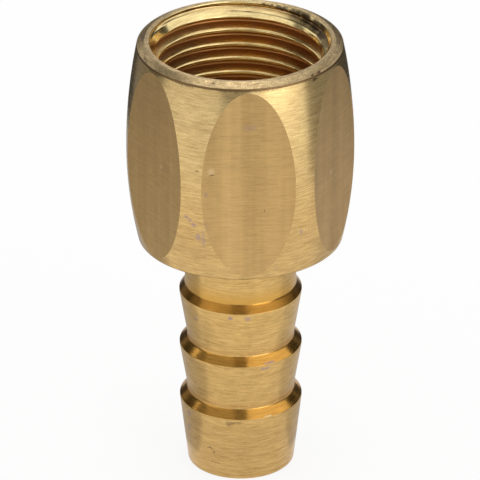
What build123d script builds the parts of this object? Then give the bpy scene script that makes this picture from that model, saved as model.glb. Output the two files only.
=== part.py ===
from build123d import *
import os
from math import radians, tan

# A one-piece brass hose tail. Its lower half is a barbed tail for a rubber hose, its upper half
# is a crowned barrel with six milled spanner flats and a tapped mouth. All sizes are in millimetres.
# The origin is the centre of the tail's end face, +Z runs up through the mouth, and one flat faces -Y.

# Tip below the lowest crest
tip_length = 8.15
tip_diameter = 12.4
tip_chamfer = 0.25

# Barbs: each tapers down from its crest to the root above the next one
barb_count = 3
barb_pitch = 6.95
barb_crest_diameter = 14.3
barb_root_diameter = 12.4
barb_shoulder = 1.2
barb_land = 0.3

# Neck between the top barb and the barrel
neck_length = 6.15
neck_diameter = 13.0

# Barrel: two arcs that meet upright at the widest place, cut by the flats
barrel_length = 24.8
across_flats = 24.0
flat_count = 6
crown_diameter = 26.35
crown_depth = 13.5
rim_diameter = 23.8
rim_bevel_height = 0.45
rim_face_diameter = 22.0
foot_diameter = 23.8

# Waterway: mouth tapped G 1/2, drill point and through bore
thread_major_diameter = 20.955
thread_minor_diameter = 18.631
countersink_angle = 60.0
tapped_depth = 16.0
drill_point_angle = 120.0
bore_diameter = 9.5
bore_chamfer = 0.3

# Heights, from the tip up
crest_heights = [tip_length + barb * barb_pitch for barb in range(barb_count)]
foot_height = crest_heights[-1] + barb_shoulder + neck_length
overall_length = foot_height + barrel_length
crown_height = overall_length - crown_depth
tapped_floor = overall_length - tapped_depth

# Radii
tip_radius = tip_diameter / 2
crest_radius = barb_crest_diameter / 2
root_radius = barb_root_diameter / 2
neck_radius = neck_diameter / 2
bore_radius = bore_diameter / 2
minor_radius = thread_minor_diameter / 2
mouth_radius = thread_major_diameter / 2

# Depths of the two cones in the waterway
countersink_depth = (mouth_radius - minor_radius) / tan(radians(countersink_angle / 2))
drill_point_depth = (minor_radius - bore_radius) / tan(radians(drill_point_angle / 2))

# Root above each crest: the next barb's taper, or the neck above the top one
shoulder_tops = [(root_radius, crest + barb_shoulder) for crest in crest_heights[:-1]]
shoulder_tops.append((neck_radius, crest_heights[-1] + barb_shoulder))


def barb_corners():
    """Corners of the barbs from the lowest crest up: crest, top of the land, top of the shoulder."""
    corners = []
    for crest, shoulder_top in zip(crest_heights, shoulder_tops):
        corners += [(crest_radius, crest), (crest_radius, crest + barb_land), shoulder_top]
    return corners


def corner_at(section, point):
    """The section's corner that lies on the given point."""
    return section.vertices().sort_by_distance(point)[0]


with BuildPart() as hose_tail:
    # Turned outside, as a half section beside the axis
    with BuildSketch(Plane.XZ) as outside:
        tip_corner = (tip_radius, 0)
        foot_corner = (foot_diameter / 2, foot_height)
        widest = (crown_diameter / 2, crown_height)
        rim_corner = (rim_diameter / 2, overall_length - rim_bevel_height)
        face_corner = (rim_face_diameter / 2, overall_length)
        with BuildLine():
            Polyline((0, 0), tip_corner, *barb_corners(), (neck_radius, foot_height), foot_corner)
            TangentArc(widest, foot_corner, tangent=(0, -1))
            TangentArc(widest, rim_corner, tangent=(0, 1))
            Polyline(rim_corner, face_corner, (0, overall_length), (0, 0))
        make_face()
        chamfer(corner_at(outside, tip_corner), tip_chamfer)
    revolve(axis=Axis.Z)

    # Spanner flats, milled across the crown
    with BuildSketch(Plane.XY):
        RegularPolygon(radius=across_flats / 2, side_count=flat_count, major_radius=False)
    extrude(amount=overall_length, mode=Mode.INTERSECT)

    # Waterway, bored from both ends
    with BuildSketch(Plane.XZ):
        with BuildLine():
            Polyline(
                (0, 0),
                (bore_radius + bore_chamfer, 0),
                (bore_radius, bore_chamfer),
                (bore_radius, tapped_floor - drill_point_depth),
                (minor_radius, tapped_floor),
                (minor_radius, overall_length - countersink_depth),
                (mouth_radius, overall_length),
                (0, overall_length),
                close=True,
            )
        make_face()
    revolve(axis=Axis.Z, mode=Mode.SUBTRACT)

hose_tail.part.label = "hose_tail"

os.makedirs("parts", exist_ok=True)
export_step(hose_tail.part, "parts/hose_tail.step")
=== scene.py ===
import math

import bpy
import numpy as np
from mathutils import Euler, Matrix


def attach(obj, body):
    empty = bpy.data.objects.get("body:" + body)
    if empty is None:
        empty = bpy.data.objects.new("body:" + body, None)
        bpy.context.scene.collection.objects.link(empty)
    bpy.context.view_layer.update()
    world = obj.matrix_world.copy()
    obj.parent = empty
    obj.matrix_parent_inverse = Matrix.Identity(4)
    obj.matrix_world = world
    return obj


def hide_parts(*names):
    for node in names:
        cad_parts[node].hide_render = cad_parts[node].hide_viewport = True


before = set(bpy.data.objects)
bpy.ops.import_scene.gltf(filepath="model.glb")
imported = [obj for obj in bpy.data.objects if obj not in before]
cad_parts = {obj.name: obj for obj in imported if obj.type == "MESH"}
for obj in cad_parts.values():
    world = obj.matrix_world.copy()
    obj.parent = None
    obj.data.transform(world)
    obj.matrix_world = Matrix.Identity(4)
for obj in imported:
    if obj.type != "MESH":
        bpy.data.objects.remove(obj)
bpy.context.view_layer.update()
print("frame: loaded, hose tail node", sorted(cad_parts))

mm = 0.001  # one millimetre in Blender's metres

# The hose tail's sizes. Lengths are in millimetres and heights are from the tip's end face.
tail = {
    "overallLength": 54.2,
    "tipLength": 8.15, "tipDiameter": 12.4, "tipRound": 0.25,
    "barbCount": 3, "barbPitch": 6.95, "barbCrestDiameter": 14.3, "barbRootDiameter": 12.4,
    "barbShoulder": 1.2, "barbLand": 0.3, "crestRound": 0.06, "rootRound": 0.25,
    "neckDiameter": 13.0, "neckRound": 0.45, "lowNeckRound": 0.45, "footHeight": 29.4,
    "acrossFlats": 24.0, "flatCount": 6, "crownDiameter": 26.35, "crownDepth": 13.5,
    "rimDiameter": 23.8, "rimBevelHeight": 0.45, "rimFaceDiameter": 22.0, "rimRound": 0.12,
    "bevelRound": 0.25, "footDiameter": 23.8, "footRound": 0.12,
    "boreDiameter": 9.5, "boreChamfer": 0.3, "tappedDepth": 16.0, "drillAngle": 120.0,
    "countersinkAngle": 60.0, "mouthEdgeRound": 0.12,
}

# The G 1/2 thread: 55 degree flanks, right-handed, with a crest at crestHeight on the side at crestAzimuth.
# It fades out over runOut, above a plain end at the tapping's floor. Its wall reaches out to mouthReach.
thread = {
    "pitch": 1.814, "majorDiameter": 20.955, "minorDiameter": 18.631, "flankAngle": 55.0,
    "edgeRound": 0.09, "runOut": 1.8, "plainEnd": 0.5, "mouthReach": 10.45,
    "crestHeight": 50.95, "crestAzimuth": 85.5,
}

# How finely the surface is divided: counts of rows and columns, and steps in millimetres. The thread's rows
# are finer down to fineDepth. Rows close up within tipReach of a flat's tip, and the columns go over from
# the flats to even spacing within the two blends. No flat is narrower than leastHalfAngle, in degrees.
grid = {
    "flatColumns": 30, "landColumns": 15, "leastHalfAngle": 0.2,
    "cornerSteps": 4, "cornerSupport": 0.12, "lineStep": 1.8, "rimStep": 0.3,
    "crownRows": 30, "tipRows": 12, "tipReach": 2.6, "tipSamples": 20001,
    "threadStep": 0.095, "deepStep": 0.2, "fineDepth": 12.0,
    "mouthJoin": 0.3, "wallEnd": 0.33, "crownJoin": 0.25, "footJoin": 0.3,
    "undersideBlend": 4.5, "rimBlendStart": 9.5, "rimBlend": 2.0,
}

# How much of the colour for painted shade and reflection is laid on outside the thread: a painted reflection
# on the neck below a height, and painted shade on the shoulders that lie less than a depth under the barrel
# and in the bore.
paintedLightPlaces = {"neckBelow": 24.5, "neckFade": 1.0, "shoulderDepth": 8.0, "shoulderShare": 0.6, "boreShare": 0.7}


# A straight run from one point to another, without its last point: start + (end - start) x share, with the
# shares in equal steps no longer than the given step.
def straightRun(start, end, step):
    start, end = np.array(start, float), np.array(end, float)
    count = max(1, int(math.ceil(np.linalg.norm(end - start) / step)))
    return start + (end - start) * np.linspace(0, 1, count, endpoint=False)[:, None]


# A path through corners, each rounded by its own radius. A corner's arc touches both of its legs at
# radius x tan(half the turn) from the corner. A support point beside each arc keeps the legs' shading flat.
# It gives the points and, for each, the number of the leg that it belongs to.
def roundedPath(corners, radii, step, arcSteps):
    corners = np.array(corners, float)
    points, legs = [], []
    startPoint = corners[0]
    for number in range(1, len(corners)):
        corner = corners[number]
        inward = corner - corners[number - 1]
        inward = inward / np.linalg.norm(inward)
        last = number == len(corners) - 1
        radius = 0 if last else radii[number]
        if last or radius == 0:
            run = straightRun(startPoint, corner, step)
            points.append(run)
            legs.append(np.full(len(run), number - 1))
            startPoint = corner
            continue
        outward = corners[number + 1] - corner
        outward = outward / np.linalg.norm(outward)
        turn = math.acos(np.clip(inward @ outward, -1, 1))
        cut = radius * math.tan(turn / 2)
        touch, leave = corner - inward * cut, corner + outward * cut
        support = min(grid["cornerSupport"], cut)
        run = straightRun(startPoint, touch - inward * support, step)
        side = math.copysign(1, inward[0] * outward[1] - inward[1] * outward[0])
        centre = touch + side * radius * np.array([-inward[1], inward[0]])
        swing = side * turn * np.linspace(0, 1, arcSteps + 1)
        spoke = touch - centre
        arc = centre + np.stack([
            spoke[0] * np.cos(swing) - spoke[1] * np.sin(swing),
            spoke[0] * np.sin(swing) + spoke[1] * np.cos(swing)], 1)
        points += [run, (touch - inward * support)[None], arc]
        legs += [np.full(len(run) + 1, number - 1), np.full((arcSteps + 1) // 2, number - 1),
                 np.full(arcSteps + 1 - (arcSteps + 1) // 2, number)]
        startPoint = leave + outward * support
    points.append(corners[-1][None])
    legs.append(np.array([len(corners) - 2]))
    return np.concatenate(points), np.concatenate(legs)


# Radius of the turned barrel at a height: two arcs that meet upright at the widest place.
# An arc that falls back by b over a height h has the radius (h squared + b squared) / 2b.
def crownRadius(height):
    widest = tail["crownDiameter"] / 2
    crownHeight = tail["overallLength"] - tail["crownDepth"]
    up, down = tail["crownDepth"] - tail["rimBevelHeight"], crownHeight - tail["footHeight"]
    upBack, downBack = widest - tail["rimDiameter"] / 2, widest - tail["footDiameter"] / 2
    upArc, downArc = (up**2 + upBack**2) / (2 * upBack), (down**2 + downBack**2) / (2 * downBack)
    arc = np.where(height > crownHeight, upArc, downArc)
    return widest - arc + np.sqrt(arc**2 - (height - crownHeight) ** 2)


# The height at which the crown is as wide as the flats are apart, above or below the widest place.
def flatTip(above):
    low = tail["overallLength"] - tail["crownDepth"]
    high = tail["overallLength"] - tail["rimBevelHeight"] if above else tail["footHeight"]
    heights = np.linspace(low, high, grid["tipSamples"])
    return float(heights[np.argmin(np.abs(crownRadius(heights) - tail["acrossFlats"] / 2))])


# Radius of the tapped wall at an azimuth and a height. A crest climbs one pitch for each turn. The wall is
# minor radius - sharp height / 6 + distance from the crest / tan(half the flank angle), kept between the
# minor and the major radius. The sharp height is half a pitch / tan(half the flank angle).
def threadRadius(azimuth, height):
    pitch, half = thread["pitch"], math.radians(thread["flankAngle"] / 2)
    minor, major = thread["minorDiameter"] / 2, thread["majorDiameter"] / 2
    lead = thread["crestHeight"] + pitch * (azimuth - math.radians(thread["crestAzimuth"])) / (2 * math.pi)
    offset = np.abs((height - lead + pitch / 2) % pitch - pitch / 2)
    sharp = pitch / 2 / math.tan(half)
    wall = minor - sharp / 6 + offset / math.tan(half)
    wall = softCap(softFloor(wall, minor, thread["edgeRound"]), major, thread["edgeRound"])
    threadEnd = tail["overallLength"] - tail["tappedDepth"] + thread["plainEnd"]
    lastTurn = np.clip((height - threadEnd) / thread["runOut"], 0, 1)
    return minor + (wall - minor) * lastTurn


# The larger of two values, eased over a width: (a + b + root of ((a - b) squared + width squared)) / 2.
def softFloor(value, floor, width):
    return (value + floor + np.sqrt((value - floor) ** 2 + width**2)) / 2


# The smaller of two values, eased over a width: (a + b - root of ((a - b) squared + width squared)) / 2.
def softCap(value, cap, width):
    return (value + cap - np.sqrt((value - cap) ** 2 + width**2)) / 2


# Radius of the countersink at a height: the thread's major radius - depth x tan(half the cone's angle).
def countersinkRadius(height):
    slope = math.tan(math.radians(tail["countersinkAngle"] / 2))
    return thread["majorDiameter"] / 2 - (tail["overallLength"] - height) * slope


# The rows of the grid as (radius, height) points with a zone name each, once round the half section:
# out over the rim, down the barrel and the tail, and back up through the bore and the thread.
def sectionRows():
    top, foot = tail["overallLength"], tail["footHeight"]
    mouth, rim, neck = thread["majorDiameter"] / 2, tail["rimDiameter"] / 2, tail["neckDiameter"] / 2
    crest, root = tail["barbCrestDiameter"] / 2, tail["barbRootDiameter"] / 2
    bore, minor = tail["boreDiameter"] / 2, thread["minorDiameter"] / 2
    points, zones = [], []

    # Adds a run of points, all in one zone
    def add(zone, run):
        run = np.array(run, float).reshape(-1, 2)
        points.append(run)
        zones.extend([zone] * len(run))

    # Mouth edge, rim face and bevel, which meets the crown in a narrow round
    edge = top - tail["rimBevelHeight"]
    face, under, inMouth = tail["rimFaceDiameter"] / 2, edge - grid["crownJoin"], top - grid["mouthJoin"]
    path, legs = roundedPath(
        [(countersinkRadius(inMouth), inMouth), (mouth, top), (face, top), (rim, edge),
         (crownRadius(np.array(under)), under)],
        [0, tail["mouthEdgeRound"], tail["bevelRound"], tail["rimRound"], 0],
        grid["rimStep"], grid["cornerSteps"])
    add("rim", path[:-1])

    # Barrel, with rows that close up towards the tips of the flats, where their outlines turn fastest
    upper, lower, reach = flatTip(True), flatTip(False), grid["tipReach"]
    spread = np.linspace(0, 1, grid["tipRows"]) ** 2
    heights = np.concatenate([
        upper + (under - upper) * spread[::-1], upper - reach * spread[1:],
        np.linspace(upper - reach, lower + reach, grid["crownRows"])[1:-1],
        lower + reach * spread[::-1], lower - (lower - foot - tail["footRound"]) * spread[1:]])
    add("barrel", np.stack([crownRadius(heights), heights], 1))

    # Underside, neck, barbs, tip and end face
    crests = [tail["tipLength"] + barb * tail["barbPitch"] for barb in range(tail["barbCount"])]
    join = foot + grid["footJoin"]
    corners = [(crownRadius(np.array(join)), join), (tail["footDiameter"] / 2, foot), (neck, foot)]
    radii, names = [0, tail["footRound"], tail["neckRound"]], ["foot", "underside", "neck"]
    for number in reversed(range(tail["barbCount"])):
        above = neck if number == tail["barbCount"] - 1 else root
        rounding = tail["lowNeckRound"] if above == neck else tail["rootRound"]
        corners += [(above, crests[number] + tail["barbShoulder"]),
                    (crest, crests[number] + tail["barbLand"]), (crest, crests[number])]
        radii += [rounding, tail["crestRound"], tail["crestRound"]]
        names += ["shoulder", "land", "cone"]
    corners += [(tail["tipDiameter"] / 2, 0), (bore + tail["boreChamfer"], 0), (bore, tail["boreChamfer"])]
    radii += [tail["tipRound"], 0, 0]
    names += ["end", "boreEdge", "bore"]
    drillTop = top - tail["tappedDepth"]
    drillRise = (minor - bore) / math.tan(math.radians(tail["drillAngle"] / 2))
    corners += [(bore, drillTop - drillRise), (minor, drillTop)]
    radii += [0, 0]
    names += ["drillCone"]
    path, legs = roundedPath(corners, radii, grid["lineStep"], grid["cornerSteps"])
    path, legs = path[2:], legs[2:]
    add("tail", path)
    zones[-len(path):] = [names[leg] for leg in legs]

    # Tapped wall, up into the countersink
    fineStart = top - grid["fineDepth"]
    deep = np.arange(drillTop + grid["deepStep"], fineStart, grid["deepStep"])
    fine = np.arange(fineStart, top - grid["wallEnd"], grid["threadStep"])
    wall = np.concatenate([deep, fine])
    add("thread", np.stack([np.zeros(len(wall)), wall], 1))
    return np.concatenate(points), zones


# The whole surface as one closed grid of rows and columns. In each sixth of a turn some columns lie on the
# flat and the rest on the crown beside it. The flat's half angle at a row is acos(apothem / crown radius),
# so its edge columns follow the ellipse that the flat cuts. Off the barrel the columns are evenly spaced.
# On a flat the radius is apothem / cos(angle from the flat's middle), where that is less than the crown's.
def hoseTailSurface():
    section, zones = sectionRows()
    zones = np.array(zones)
    radius, height = section[:, 0], section[:, 1]
    apothem = tail["acrossFlats"] / 2
    sector = 2 * math.pi / tail["flatCount"]
    columns = grid["flatColumns"] + grid["landColumns"]
    evenHalf = sector / 2 * grid["flatColumns"] / columns
    beyond = np.abs(radius - apothem)
    flatHalf = np.maximum(np.arccos(apothem / (apothem + beyond)), math.radians(grid["leastHalfAngle"]))
    inner = np.clip((radius - tail["neckDiameter"] / 2) / grid["undersideBlend"], 0, 1)
    onUnderside = np.isin(zones, ["underside", "foot"])
    flatHalf = np.where(onUnderside, flatHalf * inner + evenHalf * (1 - inner), flatHalf)
    rimBlend = np.clip((radius - grid["rimBlendStart"]) / grid["rimBlend"], 0, 1)
    flatHalf = np.where(zones == "rim", flatHalf * rimBlend + evenHalf * (1 - rimBlend), flatHalf)
    onBarrel = np.isin(zones, ["barrel", "underside", "foot", "rim"])
    flatHalf = np.where(onBarrel, flatHalf, evenHalf)[:, None]

    onFlat = np.linspace(-1, 1, grid["flatColumns"] + 1)[None]
    onLand = np.linspace(0, 1, grid["landColumns"] + 1)[None, 1:-1]
    local = np.concatenate([flatHalf * onFlat, flatHalf + (sector - 2 * flatHalf) * onLand], 1)
    facing = -math.pi / 2 + sector * np.arange(tail["flatCount"])
    azimuth = (facing[None, :, None] + local[:, None, :]).reshape(len(radius), -1)
    fromFlat = np.tile(local, (1, tail["flatCount"]))

    heights = np.repeat(height[:, None], azimuth.shape[1], 1)
    spun = np.repeat(radius[:, None], azimuth.shape[1], 1)
    flatCut = apothem / np.cos(np.minimum(np.abs(fromFlat), sector - np.abs(fromFlat)))
    spun = np.where((zones == "barrel")[:, None], np.minimum(spun, flatCut), spun)
    countersink = countersinkRadius(heights)
    tapped = np.maximum(threadRadius(azimuth, heights), countersink)
    inMouth = (zones == "thread") | ((zones == "rim") & (radius < thread["mouthReach"]))
    spun = np.where(inMouth[:, None], tapped, spun)
    points = np.stack([spun * np.cos(azimuth), spun * np.sin(azimuth), heights], 2)

    # Depth in the thread's grooves, in millimetres, which sets their painted shade, the other places that take
    # painted shade, and the low neck's painted reflection
    crestWall = np.maximum(thread["minorDiameter"] / 2, countersink)
    deep = np.where((zones == "thread")[:, None], spun - crestWall, 0)
    lowNeck = np.clip((paintedLightPlaces["neckBelow"] - heights) / paintedLightPlaces["neckFade"], 0, 1)
    onNeck = lowNeck * (zones == "neck")[:, None]
    topShoulder = (zones == "shoulder") & (height > tail["footHeight"] - paintedLightPlaces["shoulderDepth"])
    inBore = np.isin(zones, ["bore", "boreEdge"])
    paintedOutsideThread = onNeck + paintedLightPlaces["shoulderShare"] * topShoulder[:, None] + paintedLightPlaces["boreShare"] * inBore[:, None]
    return points * mm, zones, deep + paintedOutsideThread


# A closed mesh from a grid of points whose rows and columns both run round and meet their start again.
def closedGrid(name, points):
    rows, columns = points.shape[:2]
    number = np.arange(rows * columns).reshape(rows, columns)
    below, beside = np.roll(number, -1, 0), np.roll(number, -1, 1)
    corner = np.roll(below, -1, 1)
    faces = np.stack([number, below, corner, beside], 2).reshape(-1, 4)
    mesh = bpy.data.meshes.new(name)
    mesh.vertices.add(rows * columns)
    mesh.vertices.foreach_set("co", points.reshape(-1).astype(np.float32))
    mesh.loops.add(faces.size)
    mesh.loops.foreach_set("vertex_index", faces.reshape(-1).astype(np.int32))
    mesh.polygons.add(len(faces))
    mesh.polygons.foreach_set("loop_start", np.arange(0, faces.size, 4, dtype=np.int32))
    mesh.update(calc_edges=True)
    mesh.validate()
    piece = bpy.data.objects.new(name, mesh)
    bpy.context.scene.collection.objects.link(piece)
    return piece


points, zones, paintedLightAmount = hoseTailSurface()
hoseTail = closedGrid("hose_tail_turned", points)
mesh = hoseTail.data
rows, columns = points.shape[:2]
print("hose tail: rows", rows, "columns", columns, "triangles", 2 * rows * columns)

# The finishes, in the order of the material slots
finishOrder = [
    "crownTurned", "flatMilled", "tailTurned", "mouthTapped", "shoulderTurned", "rimFaced", "paintedShadeLine",
]
slotOf = {name: place for place, name in enumerate(finishOrder)}

# Where the narrow finishes begin and end, in millimetres: how near the flats' size a row still counts as
# flat, how far the rim's facing runs into the mouth, and how far the painted shade line reaches over the
# bevel.
# The painted shade line round the foot is footRounds times the foot's round.
narrowBands = {"nearFlat": 1e-4, "rimInside": 0.01, "bevelShadeLine": 0.02, "footRounds": 1.2}

# Milled faces are the flat columns of the rows where the crown is wider than the flats are apart
perSector = grid["flatColumns"] + grid["landColumns"]
rowRadius = np.hypot(points[:, grid["flatColumns"], 0], points[:, grid["flatColumns"], 1]) / mm
rowHeight = points[:, 0, 2] / mm
wide = (zones == "barrel") & (rowRadius > tail["acrossFlats"] / 2 - narrowBands["nearFlat"])
flatRow = wide & np.roll(wide, -1)
flatColumn = np.arange(columns) % perSector < grid["flatColumns"]
inMouth = np.isin(zones, ["rim", "thread"])
inBore = np.isin(zones, ["boreEdge", "bore", "drillCone"])
onTail = np.isin(zones, ["foot", "underside", "neck", "shoulder", "land", "cone", "end"])
footTop = tail["footHeight"] + tail["footRound"] * narrowBands["footRounds"]
footShadeLine = (zones == "foot") & (rowHeight < footTop)
faced = (zones == "rim") & (rowRadius > thread["majorDiameter"] / 2 - narrowBands["rimInside"])
bevelShadeLine = faced & (rowHeight < tail["overallLength"] - tail["rimBevelHeight"] + narrowBands["bevelShadeLine"])
finish = np.zeros((rows, columns), np.int32)
finish[flatRow[:, None] & flatColumn[None]] = slotOf["flatMilled"]
finish[onTail] = slotOf["tailTurned"]
finish[inMouth | inBore] = slotOf["mouthTapped"]
finish[zones == "shoulder"] = slotOf["shoulderTurned"]
finish[faced] = slotOf["rimFaced"]
# Painted shade: thin dark lines round the barrel's foot and along the bottom of the rim's bevel
finish[footShadeLine | bevelShadeLine] = slotOf["paintedShadeLine"]
mesh.polygons.foreach_set("material_index", finish.reshape(-1))
mesh.polygons.foreach_set("use_smooth", np.ones(rows * columns, bool))

# Edges that stay crisp: the outlines of the flats and the steps in the bore
ends = np.zeros(len(mesh.edges) * 2, np.int32)
mesh.edges.foreach_get("vertices", ends)
ends = ends.reshape(-1, 2)
edgeRow, edgeColumn = ends // columns, ends % columns
border = np.isin(edgeColumn % perSector, [0, grid["flatColumns"]])
upright = edgeColumn[:, 0] == edgeColumn[:, 1]
alongProfile = upright & border[:, 0] & wide[edgeRow[:, 0]] & wide[edgeRow[:, 1]]
boreStep = inBore & (np.roll(zones, 1) != zones)
roundAxis = (edgeRow[:, 0] == edgeRow[:, 1]) & boreStep[edgeRow[:, 0]]
crisp = mesh.attributes.new("sharp_edge", "BOOLEAN", "EDGE")
crisp.data.foreach_set("value", alongProfile | roundAxis)

# The value that the finishes read: how much painted shade a point takes in the thread's grooves, in the bore
# and on the shoulders under the barrel, and how much painted reflection the low neck takes
paintedShadeAndReflection = mesh.attributes.new("paintedShadeAndReflection", "FLOAT", "POINT")
paintedShadeAndReflection.data.foreach_set("value", paintedLightAmount.reshape(-1).astype(np.float32))


# Brass finishes. Colours: base, worn in patches, pale towards the upper of two heights, and a colour for
# painted shade and painted reflection laid on by the point value that the finishes read. The pale rise is
# painted light: on the crown it stands for the whiter highlight at the top and the shade and orange reflection
# lower down, and on the tail it darkens the tip with painted shade.
# Tool marks: lines to the millimetre, how deep they stand in millimetres and how strongly they show. patchSize
# is in millimetres. bands are the broad upright streaks of milling.
finishes = {
    "crownTurned": {
        "base": (0.67, 0.44, 0.17, 1), "worn": (0.5, 0.32, 0.13, 1), "pale": (0.87, 0.63, 0.28, 1),
        "paintedLightHeights": (37, 49), "roughness": 0.22, "anisotropic": 0.4, "grain": 0.14, "bands": 0,
        "linesPerMm": 9, "lineDepth": 0.007, "lineContrast": 0.46, "patchSize": 3, "patchContrast": 0.45,
        "paintedShadeAndReflection": None,
    },
    "flatMilled": {
        "base": (0.65, 0.42, 0.165, 1), "worn": (0.52, 0.33, 0.14, 1), "pale": None,
        "roughness": 0.4, "anisotropic": 0.1, "grain": 0.1, "bands": 0.1,
        "linesPerMm": 9, "lineDepth": 0.004, "lineContrast": 0.22, "patchSize": 2.5, "patchContrast": 0.4,
        "paintedShadeAndReflection": None,
    },
    "tailTurned": {
        "base": (0.6, 0.38, 0.14, 1), "worn": (0.48, 0.3, 0.11, 1), "pale": (0.73, 0.47, 0.165, 1),
        "paintedLightHeights": (4, 20), "roughness": 0.26, "anisotropic": 0.3, "grain": 0.14, "bands": 0,
        "linesPerMm": 8.5, "lineDepth": 0.007, "lineContrast": 0.46, "patchSize": 2, "patchContrast": 0.5,
        "paintedShadeAndReflection": (0.66, 0.36, 0.075, 1), "paintedShare": 0.9, "grooveRough": 0,
    },
    "mouthTapped": {
        "base": (1, 0.79, 0.37, 1), "worn": (0.66, 0.47, 0.23, 1), "pale": None,
        "roughness": 0.12, "anisotropic": 0.2, "grain": 0.12, "bands": 0,
        "linesPerMm": 5, "lineDepth": 0.004, "lineContrast": 0.36, "patchSize": 1.6, "patchContrast": 0.5,
        "paintedShadeAndReflection": (0.56, 0.28, 0.09, 1), "paintedShare": 1.15, "grooveRough": 0.24,
    },
    "shoulderTurned": {
        "base": (0.77, 0.39, 0.075, 1), "worn": (0.55, 0.28, 0.065, 1), "pale": None,
        "roughness": 0.15, "anisotropic": 0.3, "grain": 0.12, "bands": 0,
        "linesPerMm": 7, "lineDepth": 0.006, "lineContrast": 0.34, "patchSize": 1.5, "patchContrast": 0.4,
        "paintedShadeAndReflection": (0.36, 0.155, 0.022, 1), "paintedShare": 1, "grooveRough": 0.06,
    },
    "rimFaced": {
        "base": (0.82, 0.61, 0.31, 1), "worn": (0.44, 0.32, 0.18, 1), "pale": None,
        "roughness": 0.3, "anisotropic": 0.6, "grain": 0.6, "bands": 0,
        "linesPerMm": 6, "lineDepth": 0.01, "lineContrast": 0.5, "patchSize": 0.7, "patchContrast": 0.85,
        "paintedShadeAndReflection": None,
    },
    # Painted shade: a near-black brass for the thin dark lines at the barrel's foot and under the rim's bevel
    "paintedShadeLine": {
        "base": (0.26, 0.16, 0.07, 1), "worn": (0.2, 0.12, 0.05, 1), "pale": None,
        "roughness": 0.35, "anisotropic": 0, "grain": 0.1, "bands": 0,
        "linesPerMm": 5, "lineDepth": 0.002, "lineContrast": 0.2, "patchSize": 1, "patchContrast": 0.6,
        "paintedShadeAndReflection": None,
    },
}

# What the finishes share. Counts are to the millimetre: across the tool's lines and round the axis.
toolMarks = {
    "fineRound": 0.7, "fineDetail": 1.5,
    "coarseCount": 1 / 3, "coarseRound": 0.05, "coarseDetail": 2.0, "coarseShare": 0.4, "coarseRough": 0.12,
    "scoreCount": 1.6, "scoreRound": 0.35, "scoreDetail": 1.0, "scoreSlope": -10.0, "scoreStart": 7.4,
    "scoreDepth": 0.25, "grainCount": 6.5, "bandCount": 0.7, "bandAlong": 0.03,
    "patchSlope": 2.2, "patchStart": -0.6, "patchRough": 0.16, "shadeTint": (1.0, 1.12, 1.3),
}
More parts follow.
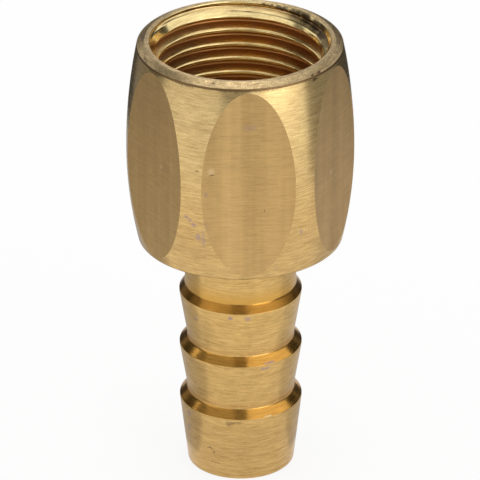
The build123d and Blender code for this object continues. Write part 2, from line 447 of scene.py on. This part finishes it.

# Marks laid on the colour: stains, nicks, painted shade and painted highlights. For each, where the middle is
# and how far it reaches each way, in millimetres, and its strength.
marks = {
    "crownTurned": [
        ("stain", (-7.07, -10.99, 37.35), (0.28, 0.3, 0.22), 0.75),
        ("stain", (-6.7, -11.18, 37.0), (0.3, 0.3, 0.25), 0.65),
        ("stain", (-6.3, -11.37, 36.45), (0.32, 0.4, 0.3), 0.75),
        ("stain", (-5.75, -11.5, 34.95), (0.35, 0.4, 0.5), 0.65),
        ("stain", (6.1, -11.3, 35.0), (0.25, 0.4, 0.4), 0.6),
        ("dark", (-8.21, -9.78, 39.25), (0.22, 0.4, 0.16), 0.9),
        ("dark", (-5.9, -11.76, 43.5), (0.25, 0.3, 0.12), 0.6),
        ("stain", (3.0, -12.1, 30.6), (0.3, 0.4, 0.4), 0.6),
        # Painted shade: a dark line round the top of the crown, under the rim's bevel
        ("dark", (7.7, -8.9, 53.3), (0.5, 0.5, 0.22), 0.7),
        ("dark", (-10.2, -6.2, 53.4), (1.6, 1.6, 0.14), 0.5),
        ("dark", (-7.2, -9.5, 53.45), (1.8, 1.3, 0.12), 0.6),
        ("dark", (0.0, -11.9, 53.5), (5.5, 1.0, 0.1), 0.5),
        ("stain", (-5.2, -11.9, 34.4), (0.25, 0.4, 1.6), 0.5),
    ],
    "flatMilled": [
        ("pale", (-4.3, -12.0, 43.5), (0.5, 0.3, 0.42), 0.7),
        ("dark", (-4.15, -12.0, 43.05), (0.42, 0.3, 0.09), 0.9),
        ("stain", (-5.1, -12.0, 36.3), (0.3, 0.3, 1.1), 0.35),
        ("dark", (1.8, -12.0, 38.2), (0.06, 0.2, 0.2), 0.8),
        ("pale", (-9.68, -7.23, 42.0), (0.16, 0.3, 0.35), 0.6),
        ("pale", (9.92, -6.82, 40.35), (0.2, 0.3, 0.35), 0.6),
        ("stain", (-4.9, -12.0, 40.6), (0.2, 0.3, 0.35), 0.5),
        ("stain", (0.2, -12.0, 48.9), (0.9, 0.3, 0.5), 0.25),
    ],
    "tailTurned": [
        ("stain", (-1.75, -6.89, 21.8), (0.35, 0.4, 0.24), 0.8),
        ("stain", (0.25, -7.1, 21.75), (0.45, 0.4, 0.34), 0.65),
        ("stain", (-5.59, -3.99, 20.4), (0.35, 0.4, 0.26), 0.6),
        ("stain", (-6.32, -3.18, 7.5), (0.3, 0.5, 0.5), 0.8),
        ("dark", (-1.5, -6.95, 8.0), (1.3, 0.4, 0.12), 0.5),
        ("dark", (-1.94, -6.86, 7.8), (0.5, 0.3, 0.25), 0.45),
        ("dark", (-4.05, -5.27, 3.9), (0.5, 0.5, 0.12), 0.6),
        ("dark", (-3.6, -5.5, 3.4), (0.14, 0.4, 0.3), 0.5),
        ("stain", (2.4, -6.75, 14.95), (0.8, 0.5, 0.16), 0.8),
        ("dark", (-3.4, -5.4, 2.0), (0.9, 0.5, 0.08), 0.4),
        ("stain", (-6.2, -2.6, 5.6), (0.2, 0.6, 0.8), 0.5),
    ],
    "shoulderTurned": [
        ("stain", (2.97, -6.51, 15.5), (0.9, 0.6, 0.14), 0.8),
        ("pale", (2.76, -6.59, 8.5), (0.5, 0.4, 0.12), 0.8),
    ],
    "rimFaced": [
        # Nicks in the rim face shown only in colour: their dark is painted shade inside them and the pale spot
        # a painted highlight on an edge
        ("dark", (8.28, -8.4, 53.75), (0.45, 0.5, 0.16), 0.9),
        ("dark", (7.5, -8.95, 53.8), (0.25, 0.4, 0.14), 0.8),
        ("pale", (-4.19, -10.3, 54.15), (0.28, 0.2, 0.2), 0.9),
        ("dark", (-3.9, -10.6, 54.05), (0.22, 0.2, 0.2), 0.7),
        ("dark", (-11.2, -3.6, 53.85), (0.35, 0.9, 0.14), 0.55),
        ("stain", (-10.9, 2.0, 54.0), (0.5, 1.2, 0.3), 0.4),
    ],
    "mouthTapped": [
        # Painted shade: the dark crescent at the back right of the mouth
        ("dark", (4.0, 9.5, 53.95), (1.4, 0.9, 0.17), 0.85),
        ("dark", (5.6, 8.75, 53.85), (1.3, 1.1, 0.32), 0.95),
        ("dark", (7.0, 7.6, 53.7), (1.2, 1.2, 0.5), 0.95),
        ("dark", (8.2, 6.3, 53.6), (1.1, 1.3, 0.66), 0.95),
        ("dark", (9.2, 4.8, 53.45), (1.0, 1.4, 0.8), 0.95),
        ("dark", (9.8, 3.0, 53.2), (0.9, 1.5, 1.0), 0.92),
        ("dark", (9.9, 1.2, 52.9), (0.8, 1.3, 1.0), 0.7),
        ("dark", (4.4, 8.2, 48.6), (0.16, 0.6, 0.5), 0.6),
    ],
}
markColours = {
    "dark": (0.09, 0.06, 0.035, 1), "stain": (0.40, 0.27, 0.25, 1), "pale": (0.80, 0.57, 0.29, 1),
}
# Their outlines: lumps to the millimetre, how far these stray in millimetres, and how the cover fades
markEdge = {"raggedCount": 3.5, "raggedBy": 0.5, "fadeSlope": -1.8, "fadeStart": 2.1}


# A new node with its settings, or failing that its inputs, set to the named values.
def addNode(tree, kind, **values):
    node = tree.nodes.new(kind)
    for name, value in values.items():
        if hasattr(node, name):
            setattr(node, name, value)
        else:
            node.inputs[name].default_value = value
    return node


# A node's inputs filled in turn, each with a plain value or with another node's output.
def fillInputs(tree, node, values, plain):
    for socket, value in zip(node.inputs, values):
        if isinstance(value, plain):
            socket.default_value = value
        else:
            tree.links.new(value, socket)


# A math node on sockets or plain numbers, and its result.
def math2(tree, operation, first, second=0.0, third=0.0, clamp=False):
    node = addNode(tree, "ShaderNodeMath", operation=operation, use_clamp=clamp)
    fillInputs(tree, node, (first, second, third), (int, float))
    return node.outputs[0]


# The same for places and directions. A length is a number, and every other result is a vector.
def vector2(tree, operation, first, second=(0.0, 0.0, 0.0)):
    node = addNode(tree, "ShaderNodeVectorMath", operation=operation)
    fillInputs(tree, node, (first, second), tuple)
    return node.outputs["Value" if operation == "LENGTH" else "Vector"]


# A noise node whose place is a socket. Its Fac runs from 0 to 1 about a middle of 0.5.
def noiseAt(tree, place, **values):
    noise = addNode(tree, "ShaderNodeTexNoise", **values)
    tree.links.new(place, noise.inputs["Vector"])
    return noise


# A colour mixed as first x (1 - amount) + second x amount, or as first x second where it multiplies. The
# mix node has its Factor, A, B and Result once for each type of data; these are the ones for colour.
def mixedColour(tree, amount, first, second, blend="MIX"):
    node = addNode(tree, "ShaderNodeMix", data_type="RGBA", blend_type=blend)
    for socket, value in ((node.inputs[0], amount), (node.inputs[6], first), (node.inputs[7], second)):
        if isinstance(value, (float, tuple)):
            socket.default_value = value
        else:
            tree.links.new(value, socket)
    return node.outputs[2]


# The colour with a finish's marks laid over it. A mark's cover is its strength x (start + slope x distance
# from its middle, measured in its own reaches), and a fine noise makes its outline ragged.
def withMarks(tree, place, colour, spots):
    ragged = noiseAt(tree, place, Scale=markEdge["raggedCount"] / mm, Detail=2.0)
    shift = vector2(tree, "SUBTRACT", ragged.outputs["Color"], (0.5, 0.5, 0.5))
    shifted = vector2(tree, "MULTIPLY", shift, (markEdge["raggedBy"] * mm,) * 3)
    shifted = vector2(tree, "ADD", place, shifted)
    for kind, tint in markColours.items():
        covered = None
        for middle, reach, strength in (spot[1:] for spot in spots if spot[0] == kind):
            away = vector2(tree, "SUBTRACT", shifted, tuple(value * mm for value in middle))
            away = vector2(tree, "MULTIPLY", away, tuple(1 / (value * mm) for value in reach))
            distance = vector2(tree, "LENGTH", away)
            cover = math2(tree, "MULTIPLY_ADD", distance, markEdge["fadeSlope"], markEdge["fadeStart"],
                          clamp=True)
            cover = math2(tree, "MULTIPLY", cover, strength)
            covered = cover if covered is None else math2(tree, "MAXIMUM", covered, cover)
        if covered is not None:
            colour = mixedColour(tree, covered, colour, tint)
    return colour


# Brass with the marks of the tool that cut it. The shade is 1 + contrast x (noise - its middle), less the
# scores, plus grain and bands, and each channel takes tint x shade + 1 - tint of it.
def turnedBrass(name, finish, spots):
    material = bpy.data.materials.new(name)
    material.use_nodes = True
    tree = material.node_tree
    shader = tree.nodes["Principled BSDF"]
    shader.inputs["Metallic"].default_value = 1.0
    shader.inputs["Anisotropic"].default_value = finish["anisotropic"]
    place = addNode(tree, "ShaderNodeTexCoord").outputs["Object"]
    flatPlace = vector2(tree, "MULTIPLY", place, (1.0, 1.0, 0.0))
    radius = vector2(tree, "LENGTH", flatPlace)

    # Lines left by the tool: a noise that changes fast with radius and height and slowly round the axis.
    # On the milled flats, which have bands, it doesn't change with radius.
    def toolLines(count, roundCount, detail):
        stretched = vector2(tree, "MULTIPLY", place, (roundCount / mm, roundCount / mm, count / mm))
        lines = noiseAt(tree, stretched, noise_dimensions="4D", Scale=1.0, Detail=detail, Roughness=0.6)
        spread = 0 if finish["bands"] else count / mm
        tree.links.new(math2(tree, "MULTIPLY", radius, spread), lines.inputs["W"])
        return lines.outputs["Fac"]

    perMm, share = finish["linesPerMm"], toolMarks["coarseShare"]
    fine = toolLines(perMm, toolMarks["fineRound"], toolMarks["fineDetail"])
    coarse = toolLines(perMm * toolMarks["coarseCount"], toolMarks["coarseRound"], toolMarks["coarseDetail"])
    patch = noiseAt(tree, place, Scale=1 / (finish["patchSize"] * mm), Detail=4.0, Roughness=0.6)
    patches = math2(tree, "MULTIPLY_ADD", patch.outputs["Fac"], toolMarks["patchSlope"],
                    toolMarks["patchStart"], clamp=True)
    patches = math2(tree, "MULTIPLY", patches, finish["patchContrast"])

    # Base colour, paler towards the upper height, which is a painted highlight above and painted shade below,
    # and worn in patches
    colour = finish["base"]
    if finish["pale"]:
        height = addNode(tree, "ShaderNodeSeparateXYZ")
        tree.links.new(place, height.inputs[0])
        low, high = finish["paintedLightHeights"]
        rise = math2(tree, "MULTIPLY_ADD", height.outputs["Z"], 1 / ((high - low) * mm), -low / (high - low),
                     clamp=True)
        colour = mixedColour(tree, rise, finish["base"], finish["pale"])
    colour = mixedColour(tree, patches, colour, finish["worn"])

    # Shade from the lines, about a middle of 1, then short dark scores along them
    lineSum = math2(tree, "ADD", fine, math2(tree, "MULTIPLY_ADD", coarse, share, 0.5 - 0.5 * share))
    shade = math2(tree, "SUBTRACT", lineSum, 1.0)
    shade = math2(tree, "MULTIPLY_ADD", shade, finish["lineContrast"] * 2, 1.0)
    score = toolLines(perMm * toolMarks["scoreCount"], toolMarks["scoreRound"], toolMarks["scoreDetail"])
    score = math2(tree, "MULTIPLY_ADD", score, toolMarks["scoreSlope"], toolMarks["scoreStart"], clamp=True)
    depth = toolMarks["scoreDepth"]
    shade = math2(tree, "MULTIPLY", shade, math2(tree, "MULTIPLY_ADD", score, depth, 1 - depth))

    # Fine grain, the same in every direction, and the flats' upright bands
    grain = noiseAt(tree, place, Scale=toolMarks["grainCount"] / mm, Detail=1.0, Roughness=0.5)
    offset = math2(tree, "SUBTRACT", grain.outputs["Fac"], 0.5)
    shade = math2(tree, "MULTIPLY_ADD", offset, finish["grain"] * 2, shade)
    if finish["bands"]:
        across, along = toolMarks["bandCount"] / mm, toolMarks["bandAlong"] / mm
        banded = vector2(tree, "MULTIPLY", place, (across, across, along))
        band = noiseAt(tree, banded, Scale=1.0, Detail=2.0, Roughness=0.5)
        offset = math2(tree, "SUBTRACT", band.outputs["Fac"], 0.5)
        shade = math2(tree, "MULTIPLY_ADD", offset, finish["bands"] * 4, shade)
    tinted = addNode(tree, "ShaderNodeCombineColor")
    for socket, tint in zip(tinted.inputs, toolMarks["shadeTint"]):
        tree.links.new(math2(tree, "MULTIPLY_ADD", shade, tint, 1 - tint), socket)
    colour = mixedColour(tree, 1.0, colour, tinted.outputs[0], "MULTIPLY")

    rough = math2(tree, "MULTIPLY_ADD", patches, toolMarks["patchRough"], finish["roughness"])
    offset = math2(tree, "SUBTRACT", coarse, 0.5)
    rough = math2(tree, "MULTIPLY_ADD", offset, toolMarks["coarseRough"], rough, clamp=True)
    # Painted shade deep in the thread's grooves, in the bore and on the shoulders under the barrel, and a
    # painted reflection on the low neck, laid on from the point value
    if finish["paintedShadeAndReflection"]:
        depth = addNode(tree, "ShaderNodeAttribute", attribute_name="paintedShadeAndReflection").outputs["Fac"]
        deep = math2(tree, "MULTIPLY", depth, finish["paintedShare"], clamp=True)
        colour = mixedColour(tree, deep, colour, finish["paintedShadeAndReflection"])
        rough = math2(tree, "ADD", rough, math2(tree, "MULTIPLY", deep, finish["grooveRough"]), clamp=True)
    tree.links.new(withMarks(tree, place, colour, spots), shader.inputs["Base Color"])
    tree.links.new(rough, shader.inputs["Roughness"])
    bump = addNode(tree, "ShaderNodeBump", Strength=1.0, Distance=finish["lineDepth"] * mm)
    tree.links.new(lineSum, bump.inputs["Height"])
    tree.links.new(bump.outputs[0], shader.inputs["Normal"])

    # Highlights spread across the tool's lines: normal x direction round the axis
    split = addNode(tree, "ShaderNodeSeparateXYZ")
    tree.links.new(place, split.inputs[0])
    roundAxis = addNode(tree, "ShaderNodeCombineXYZ")
    tree.links.new(math2(tree, "MULTIPLY", split.outputs["Y"], -1.0), roundAxis.inputs["X"])
    tree.links.new(split.outputs["X"], roundAxis.inputs["Y"])
    normal = addNode(tree, "ShaderNodeNewGeometry").outputs["Normal"]
    acrossLines = vector2(tree, "CROSS_PRODUCT", normal, roundAxis.outputs[0])
    tree.links.new(vector2(tree, "NORMALIZE", acrossLines), shader.inputs["Tangent"])
    return material


for name in finishOrder:
    mesh.materials.append(turnedBrass(name, finishes[name], marks.get(name, [])))
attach(hoseTail, "root")
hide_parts("hose_tail")
print("finishes:", ", ".join(finishOrder))

# The set: a pale floor that whiteShare of what the camera and metal see of it is plain white, and a sky
# that is white to them and skyLevel on matt surfaces. The camera looks from cameraAzimuth, in degrees.
studio = {
    "floorColour": (0.93, 0.93, 0.93, 1), "floorRoughness": 0.9, "floorSize": 3.0,
    "whiteShare": 0.85, "skyLevel": 0.92, "cameraAzimuth": -94.5, "boardSteps": 24,
}

world = bpy.data.worlds.new("studioSky")
bpy.context.scene.world = world
world.use_nodes = True
sky = world.node_tree
background = sky.nodes["Background"]
background.inputs["Color"].default_value = (1, 1, 1, 1)


# 1 for a ray from the camera, off a glossy surface or through glass, 0 for the light on matt surfaces.
def seenRay(tree):
    rays = addNode(tree, "ShaderNodeLightPath").outputs
    seen = math2(tree, "MAXIMUM", rays["Is Camera Ray"], rays["Is Glossy Ray"])
    return math2(tree, "MAXIMUM", seen, rays["Is Transmission Ray"])


level = math2(sky, "MULTIPLY_ADD", seenRay(sky), 1.0 - studio["skyLevel"], studio["skyLevel"])
sky.links.new(level, background.inputs["Strength"])


# A stage piece from corner points and four-sided faces.
def stagePiece(name, corners, faces):
    sheet = bpy.data.meshes.new(name)
    sheet.from_pydata(corners, [], faces)
    piece = bpy.data.objects.new(name, sheet)
    bpy.context.scene.collection.objects.link(piece)
    return piece


# A sheet swept round the axis between two angles, from one (radius, height) to another, in millimetres:
# x = radius x cos(angle), y = radius x sin(angle). Angles are in degrees from the camera to its right.
def ringSheet(name, aside, start, end):
    steps = studio["boardSteps"]
    angle = np.radians(studio["cameraAzimuth"] + np.linspace(aside[0], aside[1], steps + 1))
    edges = [np.stack([radius * np.cos(angle), radius * np.sin(angle), np.full(steps + 1, height)], 1)
             for radius, height in (start, end)]
    near = np.arange(steps)
    far = near + steps + 1
    faces = np.stack([near, near + 1, far + 1, far], 1)
    return stagePiece(name, (np.concatenate(edges) * mm).tolist(), faces.tolist())


half = studio["floorSize"] / 2
floorCorners = [(-half, -half, 0), (half, -half, 0), (half, half, 0), (-half, half, 0)]
floor = stagePiece("studioFloor", floorCorners, [(0, 1, 2, 3)])
floorPaint = bpy.data.materials.new("floorPaint")
floorPaint.use_nodes = True
tree = floorPaint.node_tree
paint = tree.nodes["Principled BSDF"]
paint.inputs["Base Color"].default_value = studio["floorColour"]
paint.inputs["Roughness"].default_value = studio["floorRoughness"]
paint.inputs["Specular IOR Level"].default_value = 0.0
white = addNode(tree, "ShaderNodeEmission", Strength=1.0)
blendNode = addNode(tree, "ShaderNodeMixShader")
tree.links.new(math2(tree, "MULTIPLY", seenRay(tree), studio["whiteShare"]), blendNode.inputs[0])
tree.links.new(paint.outputs[0], blendNode.inputs[1])
tree.links.new(white.outputs[0], blendNode.inputs[2])
tree.links.new(blendNode.outputs[0], tree.nodes["Material Output"].inputs["Surface"])
floor.data.materials.append(floorPaint)

# Grey boards round the set, which only metal sees: walls beside it, mats on the floor and sheets overhead.
# aside is in degrees from the camera to its right, and start and end are (radius, height) in millimetres.
greyBoards = {
    "frontWall": {"aside": (-18, 10), "start": (75, 18), "end": (75, 85), "grey": 0.34},
    "leftFront": {"aside": (-80, -18), "start": (90, 18), "end": (90, 75), "grey": 0.77},
    "rightWall": {"aside": (68, 112), "start": (100, 0), "end": (100, 68), "grey": 0.24},
    "leftWall": {"aside": (-145, -82), "start": (100, 0), "end": (100, 42), "grey": 0.22},
    "leftMiddle": {"aside": (-103, -82), "start": (100, 42), "end": (100, 62), "grey": 0.2},
    "leftDark": {"aside": (-150, -103), "start": (100, 42), "end": (100, 76), "grey": 0.05},
    "leftBar": {"aside": (-102, -82), "start": (100, 63), "end": (100, 117), "grey": 0.2},
    "farRightWall": {"aside": (112, 172), "start": (110, 1), "end": (110, 42), "grey": 0.16},
    "rightDark": {"aside": (112, 172), "start": (110, 42), "end": (110, 92), "grey": 0.05},
    "farLeftWall": {"aside": (-172, -145), "start": (110, 1), "end": (110, 42), "grey": 0.14},
    "farLeftDark": {"aside": (-172, -145), "start": (110, 42), "end": (110, 92), "grey": 0.06},
    "rightMat": {"aside": (88, 165), "start": (8, 0.5), "end": (108, 0.5), "grey": 0.7},
    "leftMat": {"aside": (-165, -88), "start": (8, 0.5), "end": (98, 0.5), "grey": 0.53},
    "leftNear": {"aside": (-165, -66), "start": (8, 0.7), "end": (26, 0.7), "grey": 0.6},
    "rightNear": {"aside": (80, 165), "start": (8, 0.7), "end": (26, 0.7), "grey": 0.66},
    "behindLow": {"aside": (165, 195), "start": (115, 1), "end": (115, 26), "grey": 0.12},
    # Painted shade: a dark sheet under the bore, standing in for the shaded floor beneath the part
    "boreShadeSheet": {"aside": (-180, 180), "start": (0.05, 0.2), "end": (4.6, 0.2), "grey": 0.05},
    "farRightLow": {"aside": (120, 168), "start": (106, 1), "end": (106, 30), "grey": 0.05},
    "farLeftLow": {"aside": (-168, -138), "start": (96, 1), "end": (96, 30), "grey": 0.05},
    "highFront": {"aside": (-19, 19), "start": (75, 250), "end": (242, 250), "grey": 0.22},
    "highLeft": {"aside": (-90, -19), "start": (75, 250), "end": (260, 250), "grey": 0.42},
    "behind": {"aside": (140, 220), "start": (150, 92), "end": (150, 175), "grey": 0.56},
    "highFarRight": {"aside": (125, 172), "start": (100, 118), "end": (100, 240), "grey": 0.1},
    "highFarLeft": {"aside": (-150, -88), "start": (100, 118), "end": (100, 240), "grey": 0.1},
}
for name, place in greyBoards.items():
    piece = ringSheet("board_" + name, place["aside"], place["start"], place["end"])
    paint = bpy.data.materials.new(piece.name + "_paint")
    paint.use_nodes = True
    nodes = paint.node_tree.nodes
    glow = nodes.new("ShaderNodeEmission")
    glow.inputs["Color"].default_value = (place["grey"],) * 3 + (1,)
    paint.node_tree.links.new(glow.outputs[0], nodes["Material Output"].inputs["Surface"])
    piece.data.materials.append(paint)
    piece.visible_camera = False
    piece.visible_diffuse = False
    piece.visible_shadow = False

# Soft square lamps aimed at aimHeight on the axis. Angles are in degrees: aside, from the camera to its right,
# and up, from level. Lengths are in millimetres and power is in watts.
aimHeight = 30
lamps = {
    "keyLamp": {"aside": 42, "up": 12, "distance": 700, "size": 420, "power": 0.83},
    "topLamp": {"aside": 180, "up": 60, "distance": 800, "size": 300, "power": 0.5},
}
for name, place in lamps.items():
    lamp = bpy.data.lights.new(name, "AREA")
    lamp.shape = "RECTANGLE"
    lamp.size = lamp.size_y = place["size"] * mm
    lamp.energy = place["power"]
    holder = bpy.data.objects.new(name, lamp)
    bpy.context.scene.collection.objects.link(holder)
    azimuth, up = math.radians(studio["cameraAzimuth"] + place["aside"]), math.radians(place["up"])
    away = place["distance"] * mm
    holder.location = (away * math.cos(up) * math.cos(azimuth), away * math.cos(up) * math.sin(azimuth),
                       away * math.sin(up) + aimHeight * mm)
    holder.rotation_euler = (math.pi / 2 - up, 0, azimuth + math.pi / 2)
print("studio: floor, sky, boards and lamps")

# The camera: lens and sensor, its distance from the axis, its height and its step aside in millimetres, and
# how far it looks down, turns round the axis and rolls in degrees. clip is in metres.
view = {
    "lens": 551.25, "sensor": 36, "clip": (0.01, 10),
    "distance": 759.15, "height": 421.4, "aside": 0.055, "down": 27.37, "turn": 4.5, "roll": -0.13,
}
lens = bpy.data.cameras.new("camera")
lens.lens, lens.sensor_width = view["lens"], view["sensor"]
lens.clip_start, lens.clip_end = view["clip"]
camera = bpy.data.objects.new("camera", lens)
bpy.context.scene.collection.objects.link(camera)
turn = math.radians(view["turn"])
camera.location = ((-view["distance"] * math.sin(turn) - view["aside"] * math.cos(turn)) * mm,
                   (-view["distance"] * math.cos(turn) + view["aside"] * math.sin(turn)) * mm,
                   view["height"] * mm)
aim = Euler((math.radians(90 - view["down"]), 0, -turn)).to_matrix()
camera.rotation_euler = (aim @ Matrix.Rotation(math.radians(view["roll"]), 3, "Z")).to_euler()
bpy.context.scene.camera = camera
bpy.context.scene.view_settings.view_transform = "Standard"
print("camera: set")
